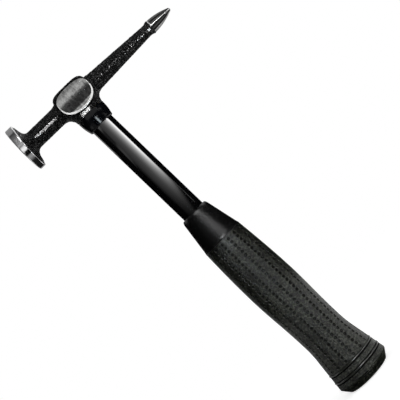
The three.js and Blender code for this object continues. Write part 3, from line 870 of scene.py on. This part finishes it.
# The core plug: turned hardwood in the head end of the tube, cut level with it, so its end grain shows. It keeps
# the thin tube round when the wedge is driven in.
core_bottom, core_top = (corner[2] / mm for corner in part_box("core_plug"))
fit_gap = 0.15
core_radius = tube_bore - fit_gap
wedge_length, wedge_top_radius, wedge_foot_radius = 18, 4.4, 3.6
hole_foot = core_top - wedge_length - fit_gap
core_profile = [(0, core_bottom), (core_radius - 0.6, core_bottom), (core_radius, core_bottom + 0.6),
                (core_radius, core_top - 0.2), (core_radius - 0.2, core_top),
                (wedge_top_radius + fit_gap, core_top), (wedge_foot_radius + fit_gap, hole_foot), (0, hole_foot)]
core_plug = turned("core", core_profile, 96, 30)
shader = finished("end_grain", core_plug, Roughness=0.62)
year_rings = grain(shader, 330, (1, 1, 0.05), "Wave", Distortion=6, Detail=3)
vessels = grain(shader, 1500, (1, 1, 0.05), Detail=2)
coloured(shader, year_rings, [(0.1, (0.3, 0.18, 0.085)), (0.8, (0.5, 0.33, 0.17))])
raised(shader, (vessels, 0.06, 0.6))
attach(core_plug, "root")
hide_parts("core_plug")


# The wedge: a tapered round steel pin, driven level with the wood to spread it against the tube. The rings that
# the lathe left on it still show.
wedge_bottom, wedge_top = (corner[2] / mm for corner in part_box("eye_wedge"))
wedge_profile = [(0, wedge_bottom), (wedge_foot_radius - 0.3, wedge_bottom), (wedge_foot_radius, wedge_bottom + 0.3),
                 (wedge_top_radius, wedge_top - 0.35), (wedge_top_radius - 0.35, wedge_top), (0, wedge_top)]
eye_wedge = turned("wedge", wedge_profile, 96, 30)
shader = finished("turned_steel", eye_wedge, Metallic=1, Roughness=0.3)
tool_marks = grain(shader, 900, (1, 1, 0.01), "Wave", wave_type="RINGS", rings_direction="Z", Distortion=0.4)
coloured(shader, grain(shader, 500, Detail=4), [(0.3, (0.36, 0.34, 0.32)), (0.6, (0.56, 0.56, 0.55))])
raised(shader, (tool_marks, 0.02, 0.5))
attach(eye_wedge, "root")
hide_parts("eye_wedge")


# The grip: black rubber moulded over the tube, with a smooth cone at its mouth, rows of small round dimples
# down its body, two ring beads over the flared end and a flat butt. It leans a little towards the pick.
grip_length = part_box("grip")[1][2] / mm
grip_lean = 3
waist_wall, waist_height, sweep_length = 8.25, 47, 13.2
belly_wall, belly_height, belly_swell = 9.45, 96, 21
shoulder_wall, cone_length = 7.4, 28.8
step_height, step_in = 0.9, 0.3
cone_top_wall, mouth_wall, mouth_lip, mouth_edge_drop = 2.5, 0.9, 1.6, 2.3
flare_wall, flare_height, flare_edge, butt_inset, butt_edge = 13.4, 6.1, 0.6, 4.5, 0.9
bead_rise, bead_pitch, bead_radius, bead_groove, bead_groove_width = 6.1, 6.8, 0.8, 0.35, 0.75
dimple_rows, dimple_pitch, dimple_first, dimple_columns = 37, 3.41, 22.0, 16
dimple_radius, dimple_depth, dimple_turn = 1.12, 1.5, math.radians(-1.2)
waist_radius, belly_radius = sleeve_bore + waist_wall, sleeve_bore + belly_wall
shoulder_radius, flare_radius = sleeve_bore + shoulder_wall, sleeve_bore + flare_wall
sweep_foot, sweep_height = waist_height - sweep_length / 2, waist_height - sweep_length
shoulder_height = grip_length - cone_length
bead_heights = (flare_height + bead_rise, flare_height + bead_rise + bead_pitch)


def bezier(start, pull_a, pull_b, end, steps):
    t = np.linspace(0, 1, steps + 1)[1:, None]
    start, pull_a, pull_b, end = (np.array(p, float) for p in (start, pull_a, pull_b, end))
    points = (1 - t) ** 3 * start + 3 * t * (1 - t) ** 2 * pull_a + 3 * t * t * (1 - t) * pull_b + t ** 3 * end
    return points.tolist()


def flare_at(height):
    return waist_radius + (flare_radius - waist_radius) * (sweep_foot - height) / (sweep_foot - flare_height)


body_curve = [(flare_at(z), z) for z in np.linspace(flare_height, sweep_height, 30)]
bend(body_curve, (waist_radius, sweep_foot), (waist_radius, waist_height), 20)
swell_height = belly_height - waist_height
body_curve += bezier(body_curve[-1], (waist_radius, waist_height + swell_height * 0.5),
                     (belly_radius, belly_height - swell_height * 0.35), (belly_radius, belly_height), 40)
bend(body_curve, (belly_radius, belly_height + belly_swell), (shoulder_radius, shoulder_height), 40)
body_curve = np.array(body_curve)


def body_radius(height):
    """The grip's outer radius along its dimpled body."""
    return np.interp(height, body_curve[:, 1], body_curve[:, 0])


def rounded(angle, radius, height):
    """Points at angles, radii and heights about the handle's axis."""
    return np.stack([radius * np.cos(angle), radius * np.sin(angle), height], -1).tolist()


grip_steps = dimple_columns * 6
grip_turns = np.linspace(0, 2 * math.pi, grip_steps, endpoint=False) + dimple_turn
foot_profile = [(0.01, 0), (flare_radius * 0.4, 0), (flare_radius - butt_inset - butt_edge, 0)]
bend(foot_profile, (flare_radius - butt_inset, 0), (flare_radius - butt_inset + butt_edge / 2, butt_edge), 4)
foot_profile += [(flare_radius - flare_edge - 0.05, flare_height - flare_edge - 0.05)]
flare_top = flare_height + flare_edge / 2
bend(foot_profile, (flare_radius, flare_height), (flare_at(flare_top), flare_top), 4)
for height in bead_heights:
    below, over = height - bead_radius - bead_groove_width, height + bead_radius + bead_groove_width
    foot_profile += [(flare_at(below) - 0.02, below), (flare_at(below) - 0.5, below + 0.12)]
    for turn in np.linspace(-math.pi / 2, math.pi / 2, 9):
        bead_reach = flare_at(height) - bead_groove + bead_radius * math.cos(turn)
        foot_profile.append((bead_reach, height + bead_radius * math.sin(turn)))
    foot_profile += [(flare_at(over) - 0.5, over - 0.12), (flare_at(over) - 0.02, over)]
dimpled_low = dimple_first - dimple_pitch / 2
dimpled_high = dimpled_low + dimple_rows * dimple_pitch
foot_profile += [(body_radius(dimpled_low), dimpled_low)]

head_profile = [(body_radius(z), z) for z in np.linspace(dimpled_high, shoulder_height, 4)]
bend(head_profile, (shoulder_radius - 0.02, shoulder_height + step_height * 0.7),
     (shoulder_radius - step_in, shoulder_height + step_height), 5)
cone_foot_radius, cone_foot = head_profile[-1]
cone_top_radius, cone_top = sleeve_bore + cone_top_wall, grip_length - mouth_edge_drop
head_profile += [(cone_foot_radius + (cone_top_radius - cone_foot_radius) * t, cone_foot + (cone_top - cone_foot) * t)
                 for t in np.linspace(0, 1, 14)[1:]]
mouth_radius, bore_foot = sleeve_bore + mouth_wall, 5
head_profile += quadratic((cone_top_radius, cone_top), (mouth_radius + mouth_lip / 2, grip_length),
                          (mouth_radius, grip_length), 6)
bend(head_profile, (sleeve_bore, grip_length), (sleeve_bore, grip_length - 0.7), 4)
head_profile += [(sleeve_bore, bore_foot), (0.01, bore_foot)]

# One dimple cell: a square of the grip's skin round one moulded dimple, as rings from the dimple's small raised
# middle out over its floor and rounded rim to the cell's edge. A ring has its share of the radius and its height.
dimple_rings = [(0.0, -0.18), (0.26, -0.22), (0.38, -0.7), (0.46, -1.0), (0.84, -1.0), (0.95, -0.5), (1.0, -0.1),
                (1.12, 0.0)]
cell_half_turn = math.pi / dimple_columns
cell_ring = [(-1 + i / 3, -1) for i in range(6)] + [(1, -1), (1, -1 / 3), (1, 1 / 3)]
cell_ring += [(1 - i / 3, 1) for i in range(6)] + [(-1, 1), (-1, 1 / 3), (-1, -1 / 3)]
cell_ring = np.array(cell_ring)
ring_angles = np.arctan2(cell_ring[:, 1] * dimple_pitch / 2, cell_ring[:, 0] * cell_half_turn * belly_radius * 0.9)
cell_grid = grid_faces(len(dimple_rings) + 1, len(cell_ring))
verts, faces = [], []
for column in range(dimple_columns):
    middle = (column + 0.5) * 2 * cell_half_turn + dimple_turn
    for row in range(dimple_rows):
        height = dimple_first + row * dimple_pitch
        faces.extend((cell_grid + len(verts)).tolist())
        for share, rise in dimple_rings:
            z = height + share * dimple_radius * np.sin(ring_angles)
            a = middle + share * dimple_radius * np.cos(ring_angles) / body_radius(height)
            verts.extend(rounded(a, body_radius(z) + rise * dimple_depth, z))
        z = height + cell_ring[:, 1] * dimple_pitch / 2
        verts.extend(rounded(middle + cell_ring[:, 0] * cell_half_turn, body_radius(z), z))
for profile in (foot_profile, head_profile):
    faces.extend((grid_faces(len(profile), grip_steps) + len(verts)).tolist())
    verts.extend(spun(profile, grip_turns).reshape(-1, 3).tolist())
verts = np.array(verts)
verts[:, 0] += grip_lean * (1 - verts[:, 2] / grip_length) * (np.hypot(verts[:, 0], verts[:, 1]) > sleeve_bore + 0.2)
grip = placed("grip_body", verts, faces, 32)
shader = finished("moulded_rubber", grip, Specular_IOR_Level=0.46)
stipple = grain(shader, 620, Detail=3, Roughness=0.6)
scuff = grain(shader, 60, (1, 1, 0.4), Detail=3)
# The fine specks in the body's colour are dust and partly a painted sheen.
dust_and_sheen = grain(shader, 680, Detail=2, Roughness=0.55)
x, y, z = own_axes(shader)
on_cone = z.over(*metres(cone_foot - 2, cone_foot + 1), 0, 1, True)
# by_cone darkens the body's colour just under the cone, and the height term in tone darkens it towards its top:
# painted shade.
by_cone = z.over(*metres(cone_foot - 17, cone_foot - 1), 0, 0.2, True)
tone = scuff - on_cone - z.over(*metres(75, 125), 0.03, 0.16, True) - by_cone
tone = tone + dust_and_sheen.over(0.4, 0.6, -0.4, 0.5) * on_cone.over(0, 1, 1, 0)
coloured(shader, tone, [(0, (0.0036, 0.0036, 0.0038)), (0.25, (0.0045, 0.0053, 0.0034)),
                        (0.6, (0.015, 0.0172, 0.0105)), (1, (0.06, 0.064, 0.05))])
on_bead = abs(z - bead_heights[0] * mm).smaller(abs(z - bead_heights[1] * mm))
on_edge = abs(z - flare_height * mm) + 0.35 * mm
on_step = abs(z - (cone_foot - 0.35) * mm) + 0.25 * mm
polished = on_bead.smaller(on_edge).smaller(on_step).over(*metres(0.75, 0.95), 1, 0)
feed(on_cone.over(0, 1, 0.37, 0.26) - polished * 0.2, shader.inputs["Roughness"])
textured = on_cone.over(0, 1, 1, 0.35) * polished.over(0, 1, 1, 0.15) * by_cone.over(0, 0.2, 1, 0.45)
raised(shader, (stipple * textured, 1.5, 1.0))
# The dimples' floors and the grooves beside the beads are coloured near black and dull: painted shade in the hollows.
shader = finished("painted_hole_shade", grip, Roughness=0.7, Specular_IOR_Level=0.1)
mottled(shader, 900, [(0.3, 0.001), (0.7, (0.002, 0.002, 0.0018))], 0.05, 0.4, Detail=2)
shader = finished("dimple_rim", grip, Roughness=0.2, Specular_IOR_Level=0.8)
mottled(shader, 700, [(0.3, (0.005, 0.0055, 0.004)), (0.7, (0.03, 0.032, 0.024))], 0.1, 0.4, Detail=2)
# The beads' rubber is a shade lighter than the body's, partly a painted highlight along them.
shader = finished("bead_rubber", grip, Roughness=0.16, Specular_IOR_Level=0.9)
mottled(shader, 300, [(0.3, (0.012, 0.013, 0.01)), (0.7, (0.03, 0.032, 0.026))], 0.05, 0.3, Detail=2)
skin_points = np.array([v.co for v in grip.data.vertices]) / mm
skin_radius = np.hypot(skin_points[:, 0] - grip_lean * (1 - skin_points[:, 2] / grip_length), skin_points[:, 1])
on_shaded_floor, on_rim, on_ring = 1, 2, 3
for face in grip.data.polygons:
    corners = list(face.vertices)
    heights = skin_points[corners, 2]
    if dimpled_low < heights.min() and heights.max() < dimpled_high:
        depth = (body_radius(heights) - skin_radius[corners]) / dimple_depth
        if depth.max() > 0.9:
            face.material_index = on_shaded_floor
        elif depth.max() > 0.05:
            face.material_index = on_rim
    elif heights.max() < dimpled_low:
        from_bead = min(abs(heights.mean() - height) for height in bead_heights)
        if from_bead < bead_radius * 0.92:
            face.material_index = on_ring
        elif from_bead < bead_radius + bead_groove_width:
            face.material_index = on_shaded_floor
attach(grip, "root")
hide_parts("grip")


# The end plug: a moulded nylon plug that closes the foot of the tube inside the grip, a flange under the cut
# end and a ribbed spigot in the bore.
plug_bottom, plug_top = (corner[2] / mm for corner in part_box("end_plug"))
flange_thickness, flange_break = 2.5, 0.3
spigot_radius, rib_count, rib_pitch = tube_bore - fit_gap, 4, 2.8
flange_top = plug_bottom + flange_thickness - 0.2
plug_profile = [(0, plug_bottom), (tube_radius - flange_break, plug_bottom),
                (tube_radius, plug_bottom + flange_break), (tube_radius, flange_top), (spigot_radius, flange_top)]
for rib in range(rib_count):
    rib_height = plug_bottom + flange_thickness + 1.5 + rib * rib_pitch
    plug_profile += [(spigot_radius - 0.35, rib_height - 0.9), (spigot_radius - 0.05, rib_height),
                     (spigot_radius - 0.35, rib_height + 0.4)]
plug_profile += [(spigot_radius - 0.8, plug_top), (0, plug_top)]
end_plug = turned("foot_plug", plug_profile, 64, 30)
shader = finished("black_nylon", end_plug)
mould_skin = mottled(shader, 700, [(0.3, (0.024, 0.024, 0.028)), (0.7, (0.036, 0.036, 0.04))], 0.04, 0.3, Detail=2)
feed(mould_skin.over(0.3, 0.7, 0.4, 0.55), shader.inputs["Roughness"])
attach(end_plug, "root")
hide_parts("end_plug")
